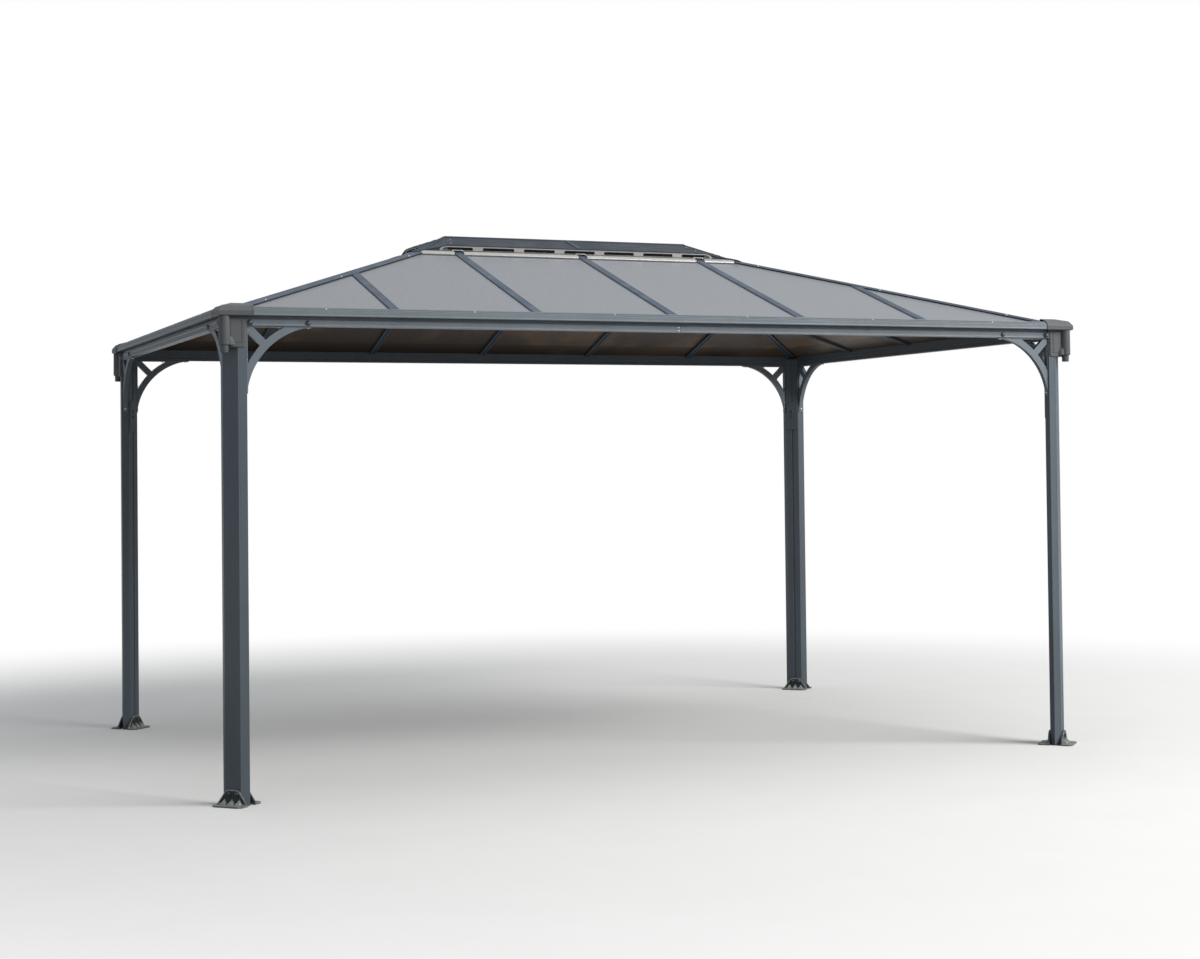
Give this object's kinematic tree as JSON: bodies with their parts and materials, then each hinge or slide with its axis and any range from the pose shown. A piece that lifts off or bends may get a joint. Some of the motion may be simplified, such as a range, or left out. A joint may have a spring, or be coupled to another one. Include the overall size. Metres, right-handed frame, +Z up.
{
  "type": "metal gazebo",
  "caption": "Rectangular open garden gazebo with extruded metal posts, gutters, knee braces and a hipped two-tier roof of translucent sheets round a slotted vent.",
  "frame": {"origin": "middle of the plan, on the ground", "axes": "+X along the long sides, +Y from front to back, +Z up"},
  "size_m": [4.3588, 3.0088, 2.6253],
  "materials": {
    "frame_metal": "satin powder coat, slate grey",
    "cast_metal": "cast, dull, weathered grey green",
    "corner_plastic": "moulded, charcoal",
    "roof_bar": "satin powder coat, slate blue grey",
    "roof_sheet": "twin wall sheet, matte, bronze grey",
    "rail_metal": "satin, light warm grey",
    "cover_metal": "satin, dark slate"
  },
  "bodies": {
    "root": {"back_beam": "frame_metal", "back_gutter": "frame_metal", "back_left_braces": "frame_metal", "back_left_bracket": "corner_plastic", "back_left_cap": "corner_plastic", "back_left_feet": "cast_metal", "back_left_post": "frame_metal", "back_panels": "roof_sheet", "back_rafters": "roof_bar", "back_right_braces": "frame_metal", "back_right_bracket": "corner_plastic", "back_right_cap": "corner_plastic", "back_right_feet": "cast_metal", "back_right_post": "frame_metal", "brace_plates": "frame_metal", "front_beam": "frame_metal", "front_gutter": "frame_metal", "front_left_braces": "frame_metal", "front_left_bracket": "corner_plastic", "front_left_cap": "corner_plastic", "front_left_feet": "cast_metal", "front_left_post": "frame_metal", "front_panels": "roof_sheet", "front_rafters": "roof_bar", "front_right_braces": "frame_metal", "front_right_bracket": "corner_plastic", "front_right_cap": "corner_plastic", "front_right_feet": "cast_metal", "front_right_post": "frame_metal", "hip_rafters": "roof_bar", "left_beam": "frame_metal", "left_gutter": "frame_metal", "left_panels": "roof_sheet", "left_rafters": "roof_bar", "right_beam": "frame_metal", "right_gutter": "frame_metal", "right_panels": "roof_sheet", "right_rafters": "roof_bar", "throat_frame": "roof_bar", "vent_bars": "cover_metal", "vent_corners": "cover_metal", "vent_cover": "cover_metal", "vent_rail": "rail_metal", "vent_strips": "rail_metal"}
  },
  "joints": []
}
